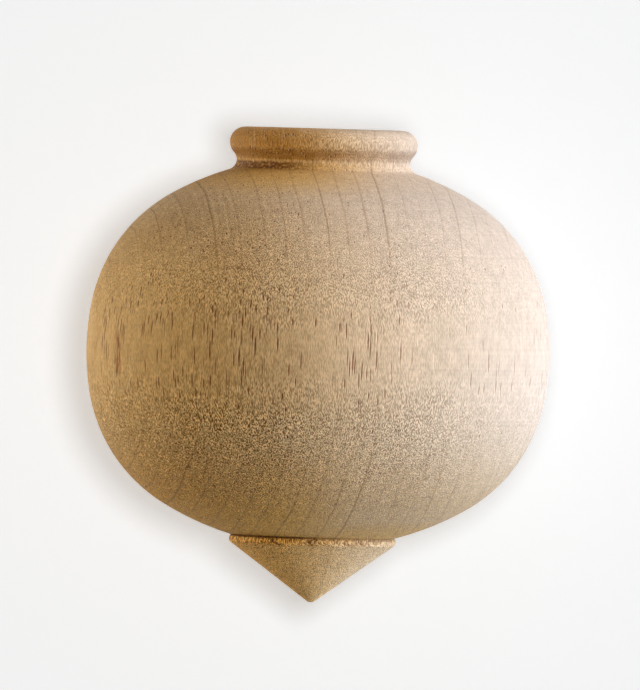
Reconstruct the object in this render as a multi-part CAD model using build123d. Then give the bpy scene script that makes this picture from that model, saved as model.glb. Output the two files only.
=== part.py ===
from build123d import *

import math
import os

# A hanging tree ornament turned from one piece of wood: a rounded bead and a cove make its neck,
# a full squashed ball makes its body, and a blunt cone ends it below.
# Millimetres. The origin is the middle of the flat top of the neck, +Z is up along the turning axis,
# and the ornament hangs below the origin.

# Body: a squashed ball in tangent arcs, alike above and below its equator
body_diameter = 63.5
body_height = 53.7  # from pole to pole of the whole ball, with the neck and the finial left off
belt_radius = 35.0  # the arc across the equator
shoulder_radius = 22.0  # the tighter arc above the belt, and the one below it
crown_radius = 41.0  # the flatter arc at each pole, centred on the axis

# Neck: a half-round bead under the flat top, then a cove that runs out onto the upper crown
bead_diameter = 25.8
bead_edge_radius = 2.1  # half of the bead's height
bead_overhang = 1.0  # how far the bead stands out past the narrowest place of the cove
cove_radius = 1.4

# Finial: a narrow rolled rim, parted from the lower crown by a V cut, over a cone with a blunt tip
rim_diameter = 22.9
rim_roll_radius = 0.7
rim_start_angle = 50.0  # where the V cut ends the roll, in degrees above its widest place
point_angle = 107.5  # between opposite sides of the cone, in degrees
tip_radius = 1.0

# An outline's point is its distance from the axis and its height. An angle on an outline's circle is
# in radians: 0 points straight out from the axis, and a right angle points up.
UP = math.pi / 2
DOWN = -math.pi / 2


def on_circle(centre, radius, angle):
    """The point of a circle at this angle."""
    return (centre[0] + radius * math.cos(angle), centre[1] + radius * math.sin(angle))


def direction(start, end):
    """The angle of the line from one point to another."""
    return math.atan2(end[1] - start[1], end[0] - start[0])


def arc_between(centre, radius, start_angle, end_angle):
    """An arc from one angle to the other, the short way."""
    angles = (start_angle, (start_angle + end_angle) / 2, end_angle)
    return ThreePointArc(*[on_circle(centre, radius, angle) for angle in angles])


def shoulder_centre(belt_centre, crown_centre):
    """Centre of the upper shoulder's arc, which touches the belt's and the crown's from inside."""
    from_belt = belt_radius - shoulder_radius
    from_crown = crown_radius - shoulder_radius
    apart = math.dist(belt_centre, crown_centre)
    along = (from_belt**2 - from_crown**2 + apart**2) / (2 * apart)
    aside = math.sqrt(from_belt**2 - along**2)
    towards_crown = direction(belt_centre, crown_centre)
    return on_circle(on_circle(belt_centre, along, towards_crown), aside, towards_crown + UP)


def body_outline(cove_centre, finial_angle, equator_height):
    """The crown, shoulder, belt, shoulder and crown, from the neck's cove to the finial's V cut."""
    belt = (body_diameter / 2 - belt_radius, equator_height)
    upper_crown = (0, equator_height + body_height / 2 - crown_radius)
    lower_crown = (0, equator_height - body_height / 2 + crown_radius)
    upper_shoulder = shoulder_centre(belt, upper_crown)
    lower_shoulder = (upper_shoulder[0], 2 * equator_height - upper_shoulder[1])
    belt_end = direction(belt, upper_shoulder)
    crown_end = direction(upper_crown, upper_shoulder)

    edges = arc_between(upper_crown, crown_radius, direction(upper_crown, cove_centre), crown_end)
    edges += arc_between(upper_shoulder, shoulder_radius, crown_end, belt_end)
    edges += arc_between(belt, belt_radius, belt_end, -belt_end)
    edges += arc_between(lower_shoulder, shoulder_radius, -belt_end, -crown_end)
    edges += arc_between(lower_crown, crown_radius, -crown_end, finial_angle)
    return edges


def neck_outline():
    """The flat top, the bead and the cove, and where the cove's centre and the upper crown's are."""
    bead_centre = (bead_diameter / 2 - bead_edge_radius, -bead_edge_radius)
    cove_centre_radius = bead_diameter / 2 - bead_overhang + cove_radius
    across = cove_centre_radius - bead_centre[0]
    down = math.sqrt((bead_edge_radius + cove_radius) ** 2 - across**2)
    cove_centre = (cove_centre_radius, bead_centre[1] - down)
    crown_drop = math.sqrt((crown_radius + cove_radius) ** 2 - cove_centre_radius**2)
    crown_centre = (0, cove_centre[1] - crown_drop)

    meeting = direction(bead_centre, cove_centre)
    run_out = direction(cove_centre, crown_centre)
    edges = Line((0, 0), (bead_centre[0], 0))
    edges += arc_between(bead_centre, bead_edge_radius, UP, meeting)
    edges += arc_between(cove_centre, cove_radius, meeting + math.pi, run_out + 2 * math.pi)
    return edges, cove_centre, crown_centre


def finial_outline(crown_centre):
    """The rolled rim, the cone and its blunt tip, the V cut's angle on the lower crown, and the tip."""
    rim_start = math.radians(rim_start_angle)
    roll_centre_radius = rim_diameter / 2 - rim_roll_radius
    cut_radius = roll_centre_radius + rim_roll_radius * math.cos(rim_start)
    cut_angle = -math.acos(cut_radius / crown_radius)
    cut_height = crown_centre[1] + crown_radius * math.sin(cut_angle)
    roll_centre = (roll_centre_radius, cut_height - rim_roll_radius * math.sin(rim_start))

    facing = -math.radians(point_angle) / 2  # which way the cone's side faces
    cone_top = on_circle(roll_centre, rim_roll_radius, facing)
    tip_edge_radius = tip_radius * math.cos(facing)
    cone_drop = (cone_top[0] - tip_edge_radius) / math.tan(-facing)
    tip_centre = (0, cone_top[1] - cone_drop - tip_radius * math.sin(facing))

    edges = arc_between(roll_centre, rim_roll_radius, rim_start, facing)
    edges += Line(cone_top, on_circle(tip_centre, tip_radius, facing))
    edges += arc_between(tip_centre, tip_radius, facing, DOWN)
    return edges, cut_angle, on_circle(tip_centre, tip_radius, DOWN)


def turned_ornament():
    """The whole outline turned round the axis."""
    neck, cove_centre, upper_crown = neck_outline()
    equator_height = upper_crown[1] + crown_radius - body_height / 2
    lower_crown = (0, 2 * equator_height - upper_crown[1])
    finial, cut_angle, tip = finial_outline(lower_crown)
    body = body_outline(cove_centre, cut_angle, equator_height)
    axis_line = Line((0, tip[1]), (0, 0))
    half_section = make_face([*neck.edges(), *body.edges(), *finial.edges(), *axis_line.edges()])
    upright_section = Plane.XZ * half_section
    print("equator", round(equator_height, 3), "tip", round(tip[1], 3))
    return revolve(upright_section, Axis.Z)


os.makedirs("parts", exist_ok=True)
export_step(turned_ornament(), "parts/ornament.step")
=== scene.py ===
import math

import bpy
import numpy as np
from mathutils import Matrix, Vector


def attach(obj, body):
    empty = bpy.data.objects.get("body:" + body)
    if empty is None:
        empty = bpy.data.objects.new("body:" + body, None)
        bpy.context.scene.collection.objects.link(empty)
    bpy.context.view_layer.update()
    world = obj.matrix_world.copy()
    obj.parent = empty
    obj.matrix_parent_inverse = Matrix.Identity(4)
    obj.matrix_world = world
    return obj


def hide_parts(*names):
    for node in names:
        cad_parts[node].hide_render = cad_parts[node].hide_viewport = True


# The looks of a raw wood tree ornament, turned from one piece, with its grain along the turning axis.
# Metres, in the frame of the solid: the origin is the middle of the neck's flat top, +Z is up, and
# the ornament hangs below. The camera looks along +Y. Node trees work in millimetres.

MM = 0.001
UP = math.pi / 2

# The turned outline, as the solid has it
BODY_DIAMETER = 63.5 * MM
BODY_HEIGHT = 53.7 * MM
BELT_RADIUS = 35.0 * MM
SHOULDER_RADIUS = 22.0 * MM
CROWN_RADIUS = 41.0 * MM
BEAD_DIAMETER = 25.8 * MM
BEAD_EDGE_RADIUS = 2.1 * MM
BEAD_OVERHANG = 1.0 * MM
COVE_RADIUS = 1.4 * MM
RIM_DIAMETER = 22.9 * MM
RIM_ROLL_RADIUS = 0.7 * MM
RIM_START_ANGLE = math.radians(50.0)
POINT_ANGLE = math.radians(107.5)
TIP_RADIUS = 1.0 * MM

# The surface's mesh
FULL_RING = 768  # vertices in a ring; rings near the axis have half, a quarter and so on
RING_CELL = 0.088 * MM  # a ring is halved while its vertices would stand closer than this
SMALLEST_RING = 12
SHARP_EDGE = math.radians(35.0)
MAP_MARGIN = 0.01  # empty edge round each half of the texture map
ON_AXIS = 1e-7  # a point nearer to the turning axis than this is on it
ROW_STEPS = {  # from one ring to the next, on each stretch of the outline
    "top": 1.1 * MM,
    "bead": 0.33 * MM,
    "cove": 0.28 * MM,
    "crown": 1.0 * MM,
    "shoulder": 1.1 * MM,
    "belt": 1.1 * MM,
    "rim": 0.11 * MM,
    "cone": 0.5 * MM,
    "tip": 0.11 * MM,
}

# What the lathe leaves on the surface
RIPPLE_DEPTH = 0.010 * MM
RIPPLE_LENGTHS = (0.9 * MM, 3.1 * MM)
TEAR_DEPTH = 0.13 * MM  # torn grain on the finial's rim
TEAR_SIZE = (0.25 * MM, 0.80 * MM)  # round the rim, and across it
TEAR_PATCH = 2.2 * MM
TEAR_MIDDLE = math.radians(-101.0)  # where the rim is torn most, just left of the front
TEAR_REACH = 0.9 * MM  # how far the torn grain runs down the cone
RIPPLE_SEED, TEAR_SEED, TEAR_PATCH_SEED = 11, 3, 4

# The wood, in millimetres. A pair of lengths is across the grain and along it.
EQUATOR = -30.66
PITH = (178.5, 20.0)  # where the tree's middle was, seen from above
RING_TILT = 0.07  # how far the rings lean to the right, for each millimetre up
RING_SPACING = 2.8
RING_UNEVENNESS = 3.0
RING_UNEVEN_LENGTH = 9.0
RING_WARP = 1.0
RING_WARP_LENGTHS = (14.0, 60.0)
FINE_RING_SPACING = 0.55
MOTTLE_LENGTHS = (8.0, 16.0)
CLOUD_LENGTHS = (1.1, 1.6)
GRAIN_BEND = 0.5  # how far the fibres wander
GRAIN_BEND_LENGTHS = (2.5, 9.0)
BELT_EDGE_REACH = 9.0  # how far the edges of the smooth belt wander
BELT_EDGE_LENGTHS = (6.0, 3.0)
SPECK_SIZE = (0.102, 0.65)  # fibres
SPECK_RANGE = (0.34, 0.66)  # the noise that gives the darkest and the lightest fibre
STREAK_CELL = (0.32, 4.8)  # room for one opened vessel
STREAK_RADIUS = 0.45  # of a cell
STREAK_PATCH = (2.2, 9.0)
HIGHLIGHT_ASIDE = 0.15  # from a streak to the painted highlight beside it, on its groove's lit wall
STAIN_PATCH = (0.15, 1.8)
SMEAR_LENGTHS = (2.2, 0.5)
BLOTCH_LENGTHS = (0.7, 0.4)
TURNING_MARKS = 0.42  # between the lathe's faint lines
GRAIN_DEPTH = 0.08
STREAK_DEPTH = 0.6  # of the grain's depth
CUT_HEIGHT = -55.97  # the V cut above the finial
CUT_EDGES = (-56.3, -55.9)  # the cone's side of the cut, and the body's
# The cut's dark line is painted shade in the crease
CUT_HALF_WIDTHS = (0.06, 0.22)  # where its dark line starts to fade, and where it ends

# Shares and colours of the wood, and of the light and shade painted into it
END_GRAIN_SHARE = 0.82  # how bright end grain is beside wood that is cut along its fibres
MARKS_SHARE = 0.12  # how much the lathe's lines change the colour
ROUGHNESS = 0.65
GLOSS = 0.15
# The fibres' own dark and light, with painted shade and highlight of their relief
SPECK_DARK_AND_SHADE = (0.18, 0.10, 0.02, 1.0)  # what the darkest and the lightest fibres do to the colour
SPECK_LIGHT_AND_HIGHLIGHT = (1.36, 1.47, 1.78, 1.0)
GRAIN_COLOUR = (0.800, 0.540, 0.258, 1.0)
DEEP_COLOUR = (0.700, 0.450, 0.196, 1.0)
# Painted light: the colour that pales the wood to the right
PAINTED_LIGHT_COLOUR = (0.830, 0.640, 0.420, 1.0)
RING_COLOUR = (0.360, 0.190, 0.060, 1.0)
# Opened vessels: their own dark, and painted shade in their grooves
STREAK_AND_SHADE_COLOUR = (0.210, 0.062, 0.006, 1.0)
# A painted highlight on each streak's lit groove wall
GROOVE_HIGHLIGHT_COLOUR = (0.960, 0.700, 0.430, 1.0)
STAIN_COLOUR = (0.300, 0.080, 0.004, 1.0)
# The neck's own browner tone, with painted shade on its left
NECK_AND_SHADE_COLOUR = (0.470, 0.205, 0.042, 1.0)
# Painted shade under the bead
UNDER_BEAD_SHADE_COLOUR = (0.300, 0.110, 0.016, 1.0)
# Golden tint by the neck and the V cut: the wood's own warmer tone there, and painted shade, warmed like
# light bounced off the wood
GOLD_AND_SHADE_COLOUR = (0.800, 0.425, 0.080, 1.0)
# Painted shade in creases: the V cut, the cove and the torn grain's pits
CREASE_SHADE_COLOUR = (0.200, 0.070, 0.015, 1.0)

# The camera: the photograph's frame is 640 by 690 pixels, and the ornament leans in it
FRAME_HEIGHT = 94.63 * MM  # what the frame's height covers at the turning axis
CAMERA_DISTANCE = 3000 * MM
CAMERA_RISE = math.radians(0.8)  # it looks down this little
LEAN = math.radians(1.674)  # the axis leans to the right at its top
AIM = Vector((0.263, 0.0, -29.675)) * MM

# The stage and its light. A lamp is its name, its azimuth and elevation in degrees, its size, its level
# and its colour.
BACKDROP_GAP = 0.2 * MM
BACKDROP_SIZE = 400 * MM
BACKDROP_COLOUR = (0.76, 0.768, 0.776, 1.0)
BACKDROP_GLOW = 0.562
FLOOR_HEIGHT = -160 * MM
FLOOR_SIZE = 280 * MM
FLOOR_COLOUR = (0.30, 0.30, 0.30, 1.0)
FLOOR_GLOW = 0.90
ROOM_LIGHT = (0.060, 0.048, 0.030, 1.0)
ROOM_COLOUR = (0.93, 0.94, 0.935, 1.0)
LAMP_DISTANCE = 600 * MM
WOOD_LAMPS = (
    ("key", 66, 0, 400 * MM, 0.57, (0.80, 0.95, 1.20)),
    ("low_key", 92, -50, 400 * MM, 0.48, (0.86, 0.97, 1.12)),
    ("far_key", 97, 0, 400 * MM, 0.14, (0.64, 0.95, 1.60)),
    ("high_rim", 112, 42, 400 * MM, 0.42, (0.76, 0.95, 1.38)),
    ("low_rim", 118, -28, 400 * MM, 0.42, (0.70, 0.93, 1.50)),
    ("front", 20, 14, 400 * MM, 0.30, (1.0, 0.86, 0.56)),
    ("left", 325, 0, 400 * MM, 0.20, (1.0, 0.82, 0.42)),
    ("above", 70, 52, 400 * MM, 0.60, (0.94, 0.97, 1.12)),
    ("bounce", 246, 2, 500 * MM, 0.88, (1.0, 0.85, 0.55)),
)
CARD_LAMP = ("card_light", 3.0, 2.0, 90 * MM, 0.42, (0.94, 1.0, 1.05))


def on_circle(centre, radius, angle):
    """The point of a circle at this angle, where 0 points out from the axis and UP is up."""
    return (centre[0] + radius * math.cos(angle), centre[1] + radius * math.sin(angle))


def direction(start, end):
    """The angle of the line from one point to another."""
    return math.atan2(end[1] - start[1], end[0] - start[0])


def arc_points(centre, radius, start_angle, end_angle, cell):
    """Points along an arc, about a cell apart, without its last one."""
    count = max(2, round(abs(end_angle - start_angle) * radius / cell))
    steps = np.arange(count) / count
    return [on_circle(centre, radius, start_angle + (end_angle - start_angle) * t) for t in steps]


def line_points(start, end, cell):
    """Points along a straight line, about a cell apart, without its last one."""
    count = max(2, round(math.dist(start, end) / cell))
    return [tuple(np.add(start, np.subtract(end, start) * i / count)) for i in range(count)]


def outline_stretches():
    """The outline from the flat top's middle to the tip: each stretch's name and points."""
    bead = (BEAD_DIAMETER / 2 - BEAD_EDGE_RADIUS, -BEAD_EDGE_RADIUS)
    cove_radius = BEAD_DIAMETER / 2 - BEAD_OVERHANG + COVE_RADIUS
    across = cove_radius - bead[0]
    cove = (cove_radius, bead[1] - math.sqrt((BEAD_EDGE_RADIUS + COVE_RADIUS) ** 2 - across**2))
    upper_crown = (0.0, cove[1] - math.sqrt((CROWN_RADIUS + COVE_RADIUS) ** 2 - cove_radius**2))
    equator = upper_crown[1] + CROWN_RADIUS - BODY_HEIGHT / 2
    lower_crown = (0.0, 2 * equator - upper_crown[1])
    belt = (BODY_DIAMETER / 2 - BELT_RADIUS, equator)

    from_belt = BELT_RADIUS - SHOULDER_RADIUS
    from_crown = CROWN_RADIUS - SHOULDER_RADIUS
    apart = math.dist(belt, upper_crown)
    along = (from_belt**2 - from_crown**2 + apart**2) / (2 * apart)
    turn = direction(belt, upper_crown)
    aside = math.sqrt(from_belt**2 - along**2)
    upper_shoulder = on_circle(on_circle(belt, along, turn), aside, turn + UP)
    lower_shoulder = (upper_shoulder[0], 2 * equator - upper_shoulder[1])
    belt_end = direction(belt, upper_shoulder)
    crown_end = direction(upper_crown, upper_shoulder)

    roll_radius = RIM_DIAMETER / 2 - RIM_ROLL_RADIUS
    cut_radius = roll_radius + RIM_ROLL_RADIUS * math.cos(RIM_START_ANGLE)
    cut_angle = -math.acos(cut_radius / CROWN_RADIUS)
    cut = on_circle(lower_crown, CROWN_RADIUS, cut_angle)
    roll = (roll_radius, cut[1] - RIM_ROLL_RADIUS * math.sin(RIM_START_ANGLE))
    facing = -POINT_ANGLE / 2
    cone_top = on_circle(roll, RIM_ROLL_RADIUS, facing)
    drop = (cone_top[0] - TIP_RADIUS * math.cos(facing)) / math.tan(-facing)
    tip = (0.0, cone_top[1] - drop - TIP_RADIUS * math.sin(facing))

    meeting = direction(bead, cove)
    run_out = direction(cove, upper_crown) + 2 * math.pi
    crown_start = direction(upper_crown, cove)
    top_edge, cone_end = (bead[0], 0.0), on_circle(tip, TIP_RADIUS, facing)
    arcs = [
        ("bead", bead, BEAD_EDGE_RADIUS, UP, meeting),
        ("cove", cove, COVE_RADIUS, meeting + math.pi, run_out),
        ("crown", upper_crown, CROWN_RADIUS, crown_start, crown_end),
        ("shoulder", upper_shoulder, SHOULDER_RADIUS, crown_end, belt_end),
        ("belt", belt, BELT_RADIUS, belt_end, -belt_end),
        ("shoulder", lower_shoulder, SHOULDER_RADIUS, -belt_end, -crown_end),
        ("crown", lower_crown, CROWN_RADIUS, -crown_end, cut_angle),
        ("rim", roll, RIM_ROLL_RADIUS, RIM_START_ANGLE, facing),
    ]
    return [
        ("top", line_points((0.0, 0.0), top_edge, ROW_STEPS["top"])),
        *[(name, arc_points(*arc, ROW_STEPS[name])) for name, *arc in arcs],
        ("cone", line_points(cone_top, cone_end, ROW_STEPS["cone"])),
        ("tip", arc_points(tip, TIP_RADIUS, facing, -UP, ROW_STEPS["tip"])),
        ("tip", [(0.0, tip[1] - TIP_RADIUS)]),
    ]


def smooth_step(low, high, value):
    """0 below the low mark, 1 above the high one, and smooth between them."""
    share = np.clip((value - low) / (high - low), 0.0, 1.0)
    return share * share * (3 - 2 * share)


def value_noise(points, seed):
    """Smooth noise from 0 to 1, with one random value at each whole-number point."""
    cell = np.floor(points).astype(np.int64)
    share = points - cell
    share = share * share * (3 - 2 * share)
    total = np.zeros(len(points))
    for corner in range(8):
        offset = np.array([corner & 1, corner >> 1 & 1, corner >> 2 & 1])
        lattice = (cell + offset).astype(np.uint64)
        mixed = lattice[:, 0] * np.uint64(73856093) ^ lattice[:, 1] * np.uint64(19349663)
        mixed ^= lattice[:, 2] * np.uint64(83492791) ^ np.uint64(seed * 2654435761)
        mixed = (mixed ^ mixed >> np.uint64(13)) * np.uint64(0x5BD1E995)
        mixed ^= mixed >> np.uint64(15)
        value = (mixed & np.uint64(0xFFFFFF)).astype(float) / 0xFFFFFF
        total += value * np.prod(np.where(offset, share, 1 - share), axis=1)
    return total


class Surface:
    """The turned surface as rings of vertices, with where each vertex is on the outline."""

    def __init__(self):
        stretches = outline_stretches()
        self.outline = np.array([point for _, points in stretches for point in points])
        self.zones = [name for name, points in stretches for _ in points]
        steps = np.linalg.norm(np.diff(self.outline, axis=0), axis=1)
        self.lengths = np.concatenate([[0.0], np.cumsum(steps)])
        slopes = np.gradient(self.outline, self.lengths, axis=0)
        self.normals = np.stack([-slopes[:, 1], slopes[:, 0]], axis=1)
        self.normals /= np.linalg.norm(self.normals, axis=1)[:, None]
        self.counts = [self.ring_count(radius) for radius in self.outline[:, 0]]
        self.starts = np.concatenate([[0], np.cumsum(self.counts)[:-1]])
        self.rows = np.repeat(np.arange(len(self.counts)), self.counts)
        self.angles = np.concatenate([np.arange(n) * 2 * math.pi / n for n in self.counts])

    @staticmethod
    def ring_count(radius):
        """Vertices in a ring of this radius: 1 on the axis, and otherwise halved as it narrows."""
        if radius < ON_AXIS:
            return 1
        count = FULL_RING
        while count > SMALLEST_RING and 2 * math.pi * radius / count < RING_CELL:
            count //= 2
        return count

    def relief(self):
        """How far each vertex stands out of the true outline, and how torn the grain is there."""
        length = self.lengths[self.rows]
        arc = self.outline[self.rows, 0] * self.angles
        ripple = np.zeros(len(length))
        for i, wave in enumerate(RIPPLE_LENGTHS):
            spots = np.stack([length / wave, np.zeros_like(arc), np.full_like(arc, 5.0)], axis=1)
            ripple += (value_noise(spots, RIPPLE_SEED + i) - 0.5) * 2 / len(RIPPLE_LENGTHS)
        flat = np.array([zone in ("top", "tip") for zone in self.zones])[self.rows]
        ripple[flat] = 0.0

        rim_rows = [i for i, zone in enumerate(self.zones) if zone == "rim"]
        first, last = self.lengths[rim_rows[0]], self.lengths[rim_rows[-1]]
        middle = (first + last) / 2
        on_rim = smooth_step(first, first + (last - first) * 0.3, length)
        on_rim *= 1 - smooth_step(middle, last + TEAR_REACH, length)
        spots = np.stack([arc / TEAR_SIZE[0], length / TEAR_SIZE[1], np.zeros_like(arc)], axis=1)
        patch = np.stack([arc / TEAR_PATCH, np.zeros_like(arc), np.full_like(arc, 3.0)], axis=1)
        torn = smooth_step(0.50, 0.74, value_noise(spots, TEAR_SEED)) * on_rim
        worst = (0.5 + 0.5 * np.cos(self.angles - TEAR_MIDDLE)) ** 4
        patchy = smooth_step(0.3, 0.6, value_noise(patch, TEAR_PATCH_SEED))
        torn *= (0.25 + 0.75 * worst) * (0.3 + 0.7 * patchy)
        return ripple * RIPPLE_DEPTH - torn * TEAR_DEPTH, torn

    def faces(self):
        """Rings joined by quads, and by triangles where a ring has half as many vertices."""
        found = []
        for row in range(len(self.counts) - 1):
            upper, lower = self.starts[row], self.starts[row + 1]
            many, few = self.counts[row], self.counts[row + 1]
            if many == few:
                for i in range(many):
                    j = (i + 1) % many
                    found.append((upper + i, lower + i, lower + j, upper + j))
            elif 1 in (many, few):
                for i in range(max(many, few)):
                    j = (i + 1) % max(many, few)
                    if many == 1:
                        found.append((upper, lower + i, lower + j))
                    else:
                        found.append((upper + i, lower, upper + j))
            else:
                found += self.stepped_faces(row, upper, lower, many, few)
        return found

    @staticmethod
    def stepped_faces(row, upper, lower, many, few):
        """Faces between two rings whose counts differ by a power of two."""
        found = []
        wide, narrow = max(many, few), min(many, few)
        step = wide // narrow
        for i in range(narrow):
            j = (i + 1) % narrow
            fan = [(i * step + k) % wide for k in range(step + 1)]
            if many > few:
                for k in range(step):
                    near = lower + (i if k < step / 2 else j)
                    found.append((upper + fan[k], near, upper + fan[k + 1]))
                found.append((upper + fan[step // 2], lower + i, lower + j))
            else:
                for k in range(step):
                    near = upper + (i if k < step / 2 else j)
                    found.append((near, lower + fan[k], lower + fan[k + 1]))
                found.append((upper + i, lower + fan[step // 2], upper + j))
        return found

    def mesh(self):
        """The Blender mesh, with its texture map, the torn grain, and how far down the outline it is."""
        lift, torn = self.relief()
        out = self.outline[self.rows] + self.normals[self.rows] * lift[:, None]
        places = np.stack(
            [out[:, 0] * np.cos(self.angles), out[:, 0] * np.sin(self.angles), out[:, 1]], axis=1
        )
        mesh = bpy.data.meshes.new("turned_wood")
        mesh.from_pydata(places.tolist(), [], self.faces())
        mesh.attributes.new("torn", "FLOAT", "POINT").data.foreach_set("value", torn)
        down = self.lengths[self.rows] / MM
        mesh.attributes.new("down", "FLOAT", "POINT").data.foreach_set("value", down)
        self.lay_map(mesh)
        mesh.shade_smooth()
        mesh.set_sharp_from_angle(angle=SHARP_EDGE)
        return mesh

    def lay_map(self, mesh):
        """The front half unrolled over the back half, so that the fine grain gets the most room."""
        corners = np.empty(len(mesh.loops), dtype=np.int64)
        mesh.loops.foreach_get("vertex_index", corners)
        sizes = np.empty(len(mesh.polygons), dtype=np.int64)
        mesh.polygons.foreach_get("loop_total", sizes)
        face = np.repeat(np.arange(len(sizes)), sizes)
        place = np.exp(1j * self.angles[corners])
        place[self.outline[self.rows[corners], 0] < ON_AXIS] = 0.0  # the axis has every angle
        middle = np.zeros(len(sizes), dtype=complex)
        np.add.at(middle, face, place)
        middle_angle = np.angle(middle)[face]
        turn = np.where(place == 0, 0.0, np.angle(place / np.exp(1j * middle_angle)))
        angle = middle_angle + turn
        back = middle_angle > 0
        across = np.where(back, angle, angle + math.pi) / math.pi
        down = self.lengths[self.rows[corners]] / self.lengths[-1]
        u = MAP_MARGIN + across * (1 - 2 * MAP_MARGIN)
        v = MAP_MARGIN + (1 - down) * (0.5 - 2 * MAP_MARGIN) + np.where(back, 0.5, 0.0)
        layer = mesh.uv_layers.new(name="OFBake")
        layer.data.foreach_set("uv", np.stack([u, v], axis=1).ravel())


class Tree:
    """Adds nodes to a node tree and joins them. A value is a number, a colour or a socket."""

    def __init__(self, owner):
        owner.use_nodes = True
        self.nodes = owner.node_tree.nodes
        self.links = owner.node_tree.links
        self.nodes.clear()

    def feed(self, socket, value):
        if isinstance(value, bpy.types.NodeSocket):
            self.links.new(value, socket)
        else:
            socket.default_value = value

    def add(self, kind, inputs=(), **settings):
        node = self.nodes.new(kind)
        for name, value in settings.items():
            setattr(node, name, value)
        for name, value in dict(inputs).items():
            self.feed(node.inputs[name], value)
        return node

    def math(self, operation, *values):
        node = self.add("ShaderNodeMath", operation=operation)
        for socket, value in zip(node.inputs, values):
            self.feed(socket, value)
        return node.outputs[0]

    def product(self, first, *others):
        for value in others:
            first = self.math("MULTIPLY", first, value)
        return first

    def centred(self, value):
        return self.math("SUBTRACT", value, 0.5)

    def vector(self, operation, first, second):
        node = self.add("ShaderNodeVectorMath", operation=operation)
        self.feed(node.inputs[0], first)
        self.feed(node.inputs["Scale"] if operation == "SCALE" else node.inputs[1], second)
        return node.outputs["Value"] if operation == "LENGTH" else node.outputs["Vector"]

    def ramp(self, value, low, high, start=0.0, end=1.0):
        """The start value below the low mark, the end value above the high one, smooth between."""
        inputs = {"Value": value, "From Min": low, "From Max": high, "To Min": start, "To Max": end}
        return self.add("ShaderNodeMapRange", inputs, interpolation_type="SMOOTHSTEP").outputs[0]

    def between(self, value, low, high, soft):
        """1 from the low mark to the high one, and 0 further outside than the soft edge."""
        return self.product(
            self.ramp(value, low - soft, low), self.ramp(value, high, high + soft, 1.0, 0.0)
        )

    def mix(self, share, first, second):
        node = self.add("ShaderNodeMix", data_type="RGBA")
        sockets = (node.inputs[0], node.inputs[6], node.inputs[7])  # the factor, A and B of a colour mix
        for socket, value in zip(sockets, (share, first, second)):
            self.feed(socket, value)
        return node.outputs[2]

    def stretched(self, place, across, along):
        """A place measured in cells of this size, where a cell is longer along the grain."""
        return self.vector("MULTIPLY", place, (1 / across, 1 / across, 1 / along))

    def noise(self, place, detail=2.0, roughness=0.5, dimensions="3D"):
        inputs = {"Scale": 1.0, "Detail": detail, "Roughness": roughness}
        inputs["W" if dimensions == "1D" else "Vector"] = place
        return self.add("ShaderNodeTexNoise", inputs, noise_dimensions=dimensions).outputs[0]


class Spot:
    """Where each point of the wood is, in millimetres, as the sockets that its patterns read."""

    def __init__(self, tree):
        self.place = tree.vector("SCALE", tree.add("ShaderNodeTexCoord").outputs["Object"], 1 / MM)
        parts = tree.add("ShaderNodeSeparateXYZ", {"Vector": self.place}).outputs
        self.aside, self.behind, self.height = parts["X"], parts["Y"], parts["Z"]
        self.up = tree.math("SUBTRACT", self.height, EQUATOR)
        self.away = tree.math("ABSOLUTE", self.up)

        bend_place = tree.stretched(self.place, *GRAIN_BEND_LENGTHS)
        bend = tree.add("ShaderNodeTexNoise", {"Vector": bend_place, "Scale": 1.0, "Detail": 1.0})
        bend = tree.vector("SUBTRACT", bend.outputs["Color"], (0.5, 0.5, 0.5))
        bend = tree.vector("MULTIPLY", bend, (GRAIN_BEND, GRAIN_BEND, 0.0))
        self.grain_place = tree.vector("ADD", self.place, bend)

        edge = tree.centred(tree.noise(tree.stretched(self.place, *BELT_EDGE_LENGTHS)))
        self.from_belt = tree.math("MULTIPLY_ADD", edge, BELT_EDGE_REACH, self.away)


# In the ramps below, a place is in millimetres. The last two numbers are the values at its two ends.


def growth_rings(tree, spot):
    """Dark lines where the tree's yearly rings end, uneven in spacing and strength, and finer rings."""
    level = tree.vector("MULTIPLY", spot.place, (1.0, 1.0, 0.0))
    pith_aside = tree.math("ADD", tree.product(spot.up, RING_TILT), PITH[0])
    pith = tree.add("ShaderNodeCombineXYZ", {"X": pith_aside, "Y": PITH[1]}).outputs[0]
    distance = tree.vector("LENGTH", tree.vector("SUBTRACT", level, pith), (0.0, 0.0, 0.0))
    warp = tree.centred(tree.noise(tree.stretched(spot.place, *RING_WARP_LENGTHS)))
    distance = tree.math("MULTIPLY_ADD", warp, RING_WARP, distance)
    fine = tree.noise(tree.math("DIVIDE", distance, FINE_RING_SPACING), 2.0, 0.6, "1D")
    uneven = tree.noise(tree.math("DIVIDE", distance, RING_UNEVEN_LENGTH), dimensions="1D")
    distance = tree.math("MULTIPLY_ADD", tree.centred(uneven), RING_UNEVENNESS, distance)
    count = tree.math("DIVIDE", distance, RING_SPACING)
    phase = tree.math("FRACT", count)
    year = tree.math("FLOOR", count)
    strength = tree.add("ShaderNodeTexWhiteNoise", {"W": year}, noise_dimensions="1D").outputs["Value"]
    line = tree.product(
        tree.ramp(phase, 0.87, 0.96),
        tree.ramp(phase, 0.965, 1.0, 1.0, 0.0),
        tree.ramp(strength, 0.0, 1.0, 0.5, 1.0),
        # Fainter on the right, on the neck and on the cone, and hardly seen at the belt
        tree.ramp(spot.aside, 0.0, 18.0, 1.0, 0.55),
        tree.ramp(spot.up, -12.0, 0.0, 1.15, 1.0),
        tree.ramp(spot.height, -5.5, -4.5, 1.0, 0.45),
        tree.ramp(spot.height, *CUT_EDGES, 0.40, 1.0),
        tree.ramp(spot.away, 7.0, 18.0, 0.03, 0.66),
    )
    return line, fine


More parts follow.
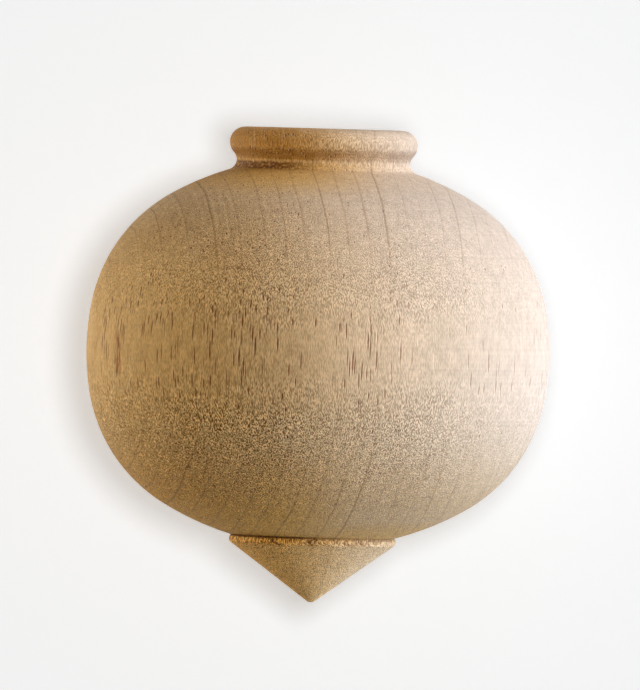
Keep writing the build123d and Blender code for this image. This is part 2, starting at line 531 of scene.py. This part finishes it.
def plain_colour(tree, spot, fine_rings):
    """The wood's own colour, deeper and lighter in turns, with painted light that makes it paler to the
    right, most from the belt up.
    """
    mottle = tree.noise(tree.stretched(spot.place, *MOTTLE_LENGTHS), 2.0, 0.5)
    depth = tree.math("ADD", tree.product(fine_rings, 0.5), tree.product(mottle, 0.5))
    colour = tree.mix(tree.ramp(depth, 0.35, 0.65), GRAIN_COLOUR, DEEP_COLOUR)
    # Painted light: paler to the right, most from the belt up
    to_the_right = tree.ramp(spot.aside, -16.0, 14.0, 0.0, 0.72)
    pale = tree.product(to_the_right, tree.ramp(spot.up, -20.0, -3.0, 0.28, 1.0))
    return tree.mix(pale, colour, PAINTED_LIGHT_COLOUR)


def neck_tints(tree, spot, colour):
    """The browner and more golden places on the neck and beside it: partly the wood's own tone there,
    partly painted shade under the bead, in the cove and on the neck's left.
    """
    blotch = tree.noise(tree.stretched(spot.place, *BLOTCH_LENGTHS), 2.0, 0.7)
    smear = tree.noise(tree.stretched(spot.place, *SMEAR_LENGTHS), 3.0, 0.65)
    smear = tree.ramp(smear, 0.35, 0.65, 0.80, 1.10)
    # The bead's own browner tone, with painted shade that grows to the left
    on_bead = tree.product(
        tree.ramp(spot.height, -3.4, -2.4), tree.ramp(spot.aside, -7.0, 5.0, 1.0, 0.08), smear
    )
    colour = tree.mix(on_bead, colour, NECK_AND_SHADE_COLOUR)
    # Painted shade under the bead, strongest on the left
    under_bead_shade = tree.product(
        tree.between(spot.height, -4.1, -3.1, 0.55), tree.ramp(spot.aside, -4.0, 8.0, 0.95, 0.22), smear
    )
    colour = tree.mix(under_bead_shade, colour, UNDER_BEAD_SHADE_COLOUR)
    # Golden crown below the cove: the wood's own warmer tone, and painted shade, strongest on the left
    on_crown = tree.product(
        tree.ramp(spot.height, -10.0, -6.5),
        tree.ramp(spot.height, -5.2, -4.2, 1.0, 0.40),
        tree.ramp(spot.aside, -5.0, 12.0, 0.80, 0.12),
    )
    colour = tree.mix(on_crown, colour, GOLD_AND_SHADE_COLOUR)
    # Painted shade in the cove, in blotches on its left
    cove_shade = tree.product(
        tree.between(spot.height, -5.5, -4.8, 0.4),
        tree.ramp(spot.aside, -7.0, 1.0, 1.0, 0.0),
        tree.ramp(blotch, 0.30, 0.52),
    )
    return tree.mix(cove_shade, colour, CREASE_SHADE_COLOUR)


def finial_tints(tree, spot, colour):
    """Painted shade, golden, on the body's underside towards the V cut and strongest on the left, and a
    dark line of painted shade in the cut.
    """
    # Painted shade on the underside that faces down towards the cut, golden and strongest on the left
    towards_cut = tree.product(
        tree.ramp(spot.height, -41.0, -54.5),
        tree.ramp(spot.aside, -6.0, 8.0, 1.0, 0.30),
        tree.ramp(spot.height, *CUT_EDGES, 0.80, 1.0),
    )
    near_cut = tree.product(
        tree.ramp(spot.height, -51.5, -55.6), tree.ramp(spot.height, -56.1, -55.9, 0.0, 0.75)
    )
    colour = tree.mix(tree.math("MAXIMUM", towards_cut, near_cut), colour, GOLD_AND_SHADE_COLOUR)
    # A dark line of painted shade in the cut, strongest on the left
    off_cut = tree.math("ABSOLUTE", tree.math("SUBTRACT", spot.height, CUT_HEIGHT))
    cut_shade = tree.product(
        tree.ramp(off_cut, *CUT_HALF_WIDTHS, 1.0, 0.0), tree.ramp(spot.aside, -5.0, 5.0, 0.90, 0.15)
    )
    return tree.mix(cut_shade, colour, CREASE_SHADE_COLOUR)


def opened_vessels(tree, place, share):
    """Vessels that the surface cuts open. They run along the grain, and this share of them shows."""
    cells = tree.stretched(place, *STREAK_CELL)
    node = tree.add("ShaderNodeTexVoronoi", {"Vector": cells, "Scale": 1.0}, feature="F1")
    inside = tree.ramp(node.outputs["Distance"], STREAK_RADIUS * 0.45, STREAK_RADIUS, 1.0, 0.0)
    pick = tree.add("ShaderNodeSeparateColor", {"Color": node.outputs["Color"]}).outputs[0]
    faint = tree.math("SUBTRACT", 1.0, share)
    full = tree.math("MULTIPLY_ADD", share, -0.4, 1.0)
    return tree.product(inside, tree.ramp(pick, faint, full))


def streak_share(tree, spot):
    """The share of vessels that are open: clusters on the belt, mostly to the left, and on the bead."""
    patches = tree.noise(tree.stretched(spot.place, *STREAK_PATCH), 1.0)
    left = tree.between(spot.aside, -23.0, -4.0, 3.0)
    far_left = tree.between(spot.aside, -29.0, -26.0, 1.0)
    right = tree.product(tree.between(spot.aside, 3.0, 11.0, 2.5), 0.6)
    sides = tree.math("MAXIMUM", tree.math("MAXIMUM", left, far_left), right)
    on_belt = tree.product(
        tree.ramp(patches, 0.36, 0.52, 0.40, 1.0),
        tree.ramp(sides, 0.0, 1.0, 0.18, 1.0),
        tree.ramp(spot.from_belt, 3.0, 10.0, 1.0, 0.15),
    )
    on_bead = tree.product(
        tree.ramp(spot.height, -4.4, -3.4), tree.between(spot.aside, -9.5, -5.0, 2.0), 0.8
    )
    return tree.math("MAXIMUM", on_belt, on_bead)


def open_streaks(tree, spot, colour):
    """Adds dark streaks, partly painted shade in their grooves, with a painted highlight beside each on
    the groove's lit wall. Returns the colour and the streaks.
    """
    share = streak_share(tree, spot)
    beside = tree.vector("ADD", spot.grain_place, (HIGHLIGHT_ASIDE, 0.0, 0.0))
    # A painted highlight beside each streak, stronger to the right
    groove_highlight = opened_vessels(tree, beside, share)
    groove_highlight = tree.product(groove_highlight, tree.ramp(spot.aside, -4.0, 8.0, 0.45, 0.90))
    colour = tree.mix(groove_highlight, colour, GROOVE_HIGHLIGHT_COLOUR)
    streaks = opened_vessels(tree, spot.grain_place, share)
    # The streaks' own dark, with painted shade in their grooves that grows to the left
    darkness = tree.product(streaks, tree.ramp(spot.aside, -2.0, 14.0, 1.0, 0.50))
    return tree.mix(darkness, colour, STREAK_AND_SHADE_COLOUR), streaks


def stain(tree, spot, colour):
    """Adds the one reddish stain along the grain, at the left of the front."""
    share = tree.product(
        tree.between(spot.aside, -27.5, -27.0, 0.35),
        tree.between(spot.up, -2.6, 1.6, 1.4),
        tree.ramp(tree.noise(tree.stretched(spot.place, *STAIN_PATCH)), 0.40, 0.58),
        tree.ramp(spot.behind, -2.0, 0.0, 0.85, 0.0),
    )
    return tree.mix(share, colour, STAIN_COLOUR)


def fibre_relief_and_shade(tree, spot):
    """How strongly the fibres show, in their relief and in their painted shade and highlight: more low
    down and left of the middle, less at the belt and the right.
    """
    by_height = tree.math("MULTIPLY_ADD", spot.up, -0.018, 0.86)
    by_height = tree.add("ShaderNodeClamp", {"Value": by_height, "Min": 0.3, "Max": 1.15}).outputs[0]
    on_body = tree.product(
        by_height,
        tree.ramp(spot.aside, -9.0, 4.0, 1.0, 0.58),
        tree.ramp(spot.aside, 12.0, 26.0, 1.0, 0.40),
        tree.ramp(spot.aside, -27.0, -16.0, 0.80, 1.0),
        tree.ramp(spot.from_belt, 1.0, 11.0, 0.30, 1.0),
        tree.ramp(spot.height, -50.0, -54.0, 1.0, 0.85),
    )
    on_neck = tree.product(
        tree.ramp(spot.height, -6.5, -4.5), tree.ramp(spot.aside, 2.0, 12.0, 0.38, 0.20)
    )
    return tree.math("MAXIMUM", on_body, on_neck)


def fibres(tree, spot):
    """Fine dark and light fibres, as a value about 0.5, for their relief and for their own tone with
    painted shade and highlight.
    """
    specks = tree.noise(tree.stretched(spot.grain_place, *SPECK_SIZE), 0.0)
    specks = tree.centred(tree.ramp(specks, *SPECK_RANGE))
    return tree.math("MULTIPLY_ADD", specks, fibre_relief_and_shade(tree, spot), 0.5)


def brightness(tree, spot):
    """How bright the cut's direction, the lathe's lines and the wood's paler places make the surface,
    with painted light on the belt right of the middle and on the finial's cone, and painted shade on the
    upper left shoulder.
    """
    normal = tree.add("ShaderNodeTexCoord").outputs["Normal"]
    facing_up = tree.add("ShaderNodeSeparateXYZ", {"Vector": normal}).outputs["Z"]
    across_grain = tree.product(facing_up, facing_up)
    # Painted light on the belt right of the middle, and painted shade on the upper left shoulder
    painted_belt_light = tree.product(
        tree.ramp(spot.from_belt, 2.0, 10.0, 1.0, 0.0), tree.between(spot.aside, 3.0, 12.0, 6.0)
    )
    painted_shoulder_shade = tree.product(tree.ramp(spot.up, 10.0, 20.0), tree.ramp(spot.aside, -6.0, -18.0))
    down = tree.add("ShaderNodeAttribute", attribute_name="down").outputs["Fac"]
    marks = tree.centred(tree.noise(tree.math("DIVIDE", down, TURNING_MARKS), 1.0, 0.5, "1D"))
    cloud = tree.noise(tree.stretched(spot.place, *CLOUD_LENGTHS), 2.0, 0.55)
    return tree.product(
        tree.math("MULTIPLY_ADD", across_grain, END_GRAIN_SHARE - 1, 1.0),
        # Painted light: the finial's cone 22 percent brighter
        tree.ramp(spot.height, -56.1, -56.4, 1.0, 1.22),
        tree.math("MULTIPLY_ADD", painted_belt_light, 0.10, 1.0),
        tree.math("MULTIPLY_ADD", painted_shoulder_shade, -0.20, 1.0),
        tree.math("MULTIPLY_ADD", marks, MARKS_SHARE, 1.0),
        tree.ramp(cloud, 0.30, 0.70, 0.93, 1.07),
    )


def wood_material():
    """Raw light hardwood, sanded, with light and shade painted into its colour: darker tints at the neck
    and the finial, paler to the right.
    """
    material = bpy.data.materials.new("raw_wood")
    tree = Tree(material)
    spot = Spot(tree)
    ring_line, fine_rings = growth_rings(tree, spot)
    colour = plain_colour(tree, spot, fine_rings)
    colour = neck_tints(tree, spot, colour)
    colour = finial_tints(tree, spot, colour)
    colour = tree.mix(ring_line, colour, RING_COLOUR)
    colour, streaks = open_streaks(tree, spot, colour)
    colour = stain(tree, spot, colour)
    torn = tree.add("ShaderNodeAttribute", attribute_name="torn").outputs["Fac"]
    # Painted shade in the torn grain's pits
    colour = tree.mix(torn, colour, CREASE_SHADE_COLOUR)

    specks = fibres(tree, spot)
    # The fibres darken and lighten the colour: their own tone, and painted shade and highlight of their
    # relief
    gain = tree.vector("SCALE", tree.mix(specks, SPECK_DARK_AND_SHADE, SPECK_LIGHT_AND_HIGHLIGHT), brightness(tree, spot))
    grain = tree.math("MULTIPLY_ADD", streaks, -STREAK_DEPTH, specks)
    bump = tree.add("ShaderNodeBump", {"Height": grain, "Strength": 1.0, "Distance": GRAIN_DEPTH * MM})
    shader = tree.add(
        "ShaderNodeBsdfPrincipled",
        {
            "Base Color": tree.vector("MULTIPLY", colour, gain),
            "Roughness": ROUGHNESS,
            "Specular IOR Level": GLOSS,
            "Normal": bump.outputs[0],
        },
    )
    output = tree.add("ShaderNodeOutputMaterial")
    tree.links.new(shader.outputs[0], output.inputs["Surface"])
    return material


def turned_piece():
    """The ornament's skin, in place of the plain solid."""
    piece = bpy.data.objects.new("turned_ornament", Surface().mesh())
    bpy.context.scene.collection.objects.link(piece)
    piece.data.materials.append(wood_material())
    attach(piece, "root")
    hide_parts("ornament")
    return piece


def seen_or_mirrored(tree):
    """1 for what the camera sees, also in a mirroring surface or through a clear one."""
    rays = tree.add("ShaderNodeLightPath").outputs
    mirrored = tree.math("MAXIMUM", rays["Is Glossy Ray"], rays["Is Transmission Ray"])
    return tree.math("MAXIMUM", rays["Is Camera Ray"], mirrored)


def stage_material(name, colour, glow):
    """A pale surface that keeps shadows, shows white to the camera, and shows on one side only."""
    material = bpy.data.materials.new(name)
    tree = Tree(material)
    seen = seen_or_mirrored(tree)
    light = tree.add("ShaderNodeEmission", {"Strength": tree.math("MULTIPLY", seen, glow)})
    diffuse = tree.add("ShaderNodeBsdfDiffuse", {"Color": colour})
    both = tree.add("ShaderNodeAddShader")
    tree.links.new(light.outputs[0], both.inputs[0])
    tree.links.new(diffuse.outputs[0], both.inputs[1])
    clear = tree.add("ShaderNodeBsdfTransparent")
    side = tree.add("ShaderNodeNewGeometry").outputs["Backfacing"]
    choice = tree.add("ShaderNodeMixShader", {"Fac": side})
    tree.links.new(both.outputs[0], choice.inputs[1])
    tree.links.new(clear.outputs[0], choice.inputs[2])
    output = tree.add("ShaderNodeOutputMaterial")
    tree.links.new(choice.outputs[0], output.inputs["Surface"])
    return material


def stage_plane(name, centre, facing, size, material):
    """A flat stage surface whose front faces this way."""
    half = size / 2
    corners = [(-half, -half, 0), (half, -half, 0), (half, half, 0), (-half, half, 0)]
    mesh = bpy.data.meshes.new(name)
    mesh.from_pydata(corners, [], [(0, 1, 2, 3)])
    mesh.materials.append(material)
    plane = bpy.data.objects.new(name, mesh)
    turned = Vector(facing).to_track_quat("Z", "Y").to_matrix().to_4x4()
    plane.matrix_world = Matrix.Translation(centre) @ turned
    for ray in ("diffuse", "glossy", "transmission", "volume_scatter", "shadow"):
        setattr(plane, "visible_" + ray, False)
    bpy.context.scene.collection.objects.link(plane)
    return plane


def area_light(name, azimuth, elevation, size, level, colour, receivers):
    """A soft lamp for these objects. At level 1 a white surface that faces it renders white."""
    turn, rise = math.radians(azimuth), math.radians(elevation)
    away = Vector((math.cos(rise) * math.sin(turn), -math.cos(rise) * math.cos(turn), math.sin(rise)))
    lamp = bpy.data.lights.new(name, "AREA")
    lamp.shape = "DISK"
    lamp.size = size
    lamp.energy = level * (math.pi * LAMP_DISTANCE) ** 2
    lamp.color = colour
    holder = bpy.data.objects.new(name, lamp)
    turned = away.to_track_quat("Z", "Y").to_matrix().to_4x4()
    holder.matrix_world = Matrix.Translation(AIM + away * LAMP_DISTANCE) @ turned
    holder.visible_camera = False
    group = bpy.data.collections.new(name + "_receivers")
    for receiver in receivers:
        group.objects.link(receiver)
    holder.light_linking.receiver_collection = group
    bpy.context.scene.collection.objects.link(holder)


def world_light(light, shown):
    """Even light from all around, and the pale background that the camera sees instead of it."""
    world = bpy.data.worlds.new("studio")
    bpy.context.scene.world = world
    tree = Tree(world)
    seen = seen_or_mirrored(tree)
    colour = tree.mix(seen, light, shown)
    background = tree.add("ShaderNodeBackground", {"Color": colour, "Strength": 1.0})
    output = tree.add("ShaderNodeOutputWorld")
    tree.links.new(background.outputs[0], output.inputs["Surface"])


def photo_camera():
    """A long lens at right angles to the turning axis, rolled by the ornament's lean."""
    right = Vector((math.cos(LEAN), 0.0, math.sin(LEAN)))
    level = Vector((-math.sin(LEAN), 0.0, math.cos(LEAN)))
    back = right.cross(level) * math.cos(CAMERA_RISE) + level * math.sin(CAMERA_RISE)
    upward = back.cross(right)
    lens = bpy.data.cameras.new("photo")
    lens.sensor_fit = "AUTO"
    lens.sensor_width = 36.0
    lens.lens = lens.sensor_width * CAMERA_DISTANCE / FRAME_HEIGHT
    lens.clip_start = 10 * MM
    lens.clip_end = 100.0
    camera = bpy.data.objects.new("photo", lens)
    basis = Matrix((right, upward, back)).transposed().to_4x4()
    camera.matrix_world = Matrix.Translation(AIM + back * CAMERA_DISTANCE) @ basis
    bpy.context.scene.collection.objects.link(camera)
    bpy.context.scene.camera = camera


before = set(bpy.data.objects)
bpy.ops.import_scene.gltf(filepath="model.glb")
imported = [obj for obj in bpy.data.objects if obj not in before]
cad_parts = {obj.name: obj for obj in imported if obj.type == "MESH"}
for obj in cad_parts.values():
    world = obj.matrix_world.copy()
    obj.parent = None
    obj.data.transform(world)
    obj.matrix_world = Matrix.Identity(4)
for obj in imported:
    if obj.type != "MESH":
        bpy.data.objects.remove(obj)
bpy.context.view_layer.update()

piece = turned_piece()

backdrop_place = (0.0, BODY_DIAMETER / 2 + BACKDROP_GAP, AIM.z)
pale_card = stage_material("pale_card", BACKDROP_COLOUR, BACKDROP_GLOW)
backdrop = stage_plane("backdrop", backdrop_place, (0, -1, 0), BACKDROP_SIZE, pale_card)
pale_floor = stage_material("pale_floor", FLOOR_COLOUR, FLOOR_GLOW)
floor = stage_plane("floor", (0.0, 0.0, FLOOR_HEIGHT), (0, 0, 1), FLOOR_SIZE, pale_floor)

world_light(ROOM_LIGHT, ROOM_COLOUR)
for lamp in WOOD_LAMPS:
    area_light(*lamp, [piece])
area_light(*CARD_LAMP, [backdrop, floor])
photo_camera()
bpy.context.scene.view_settings.view_transform = "Standard"
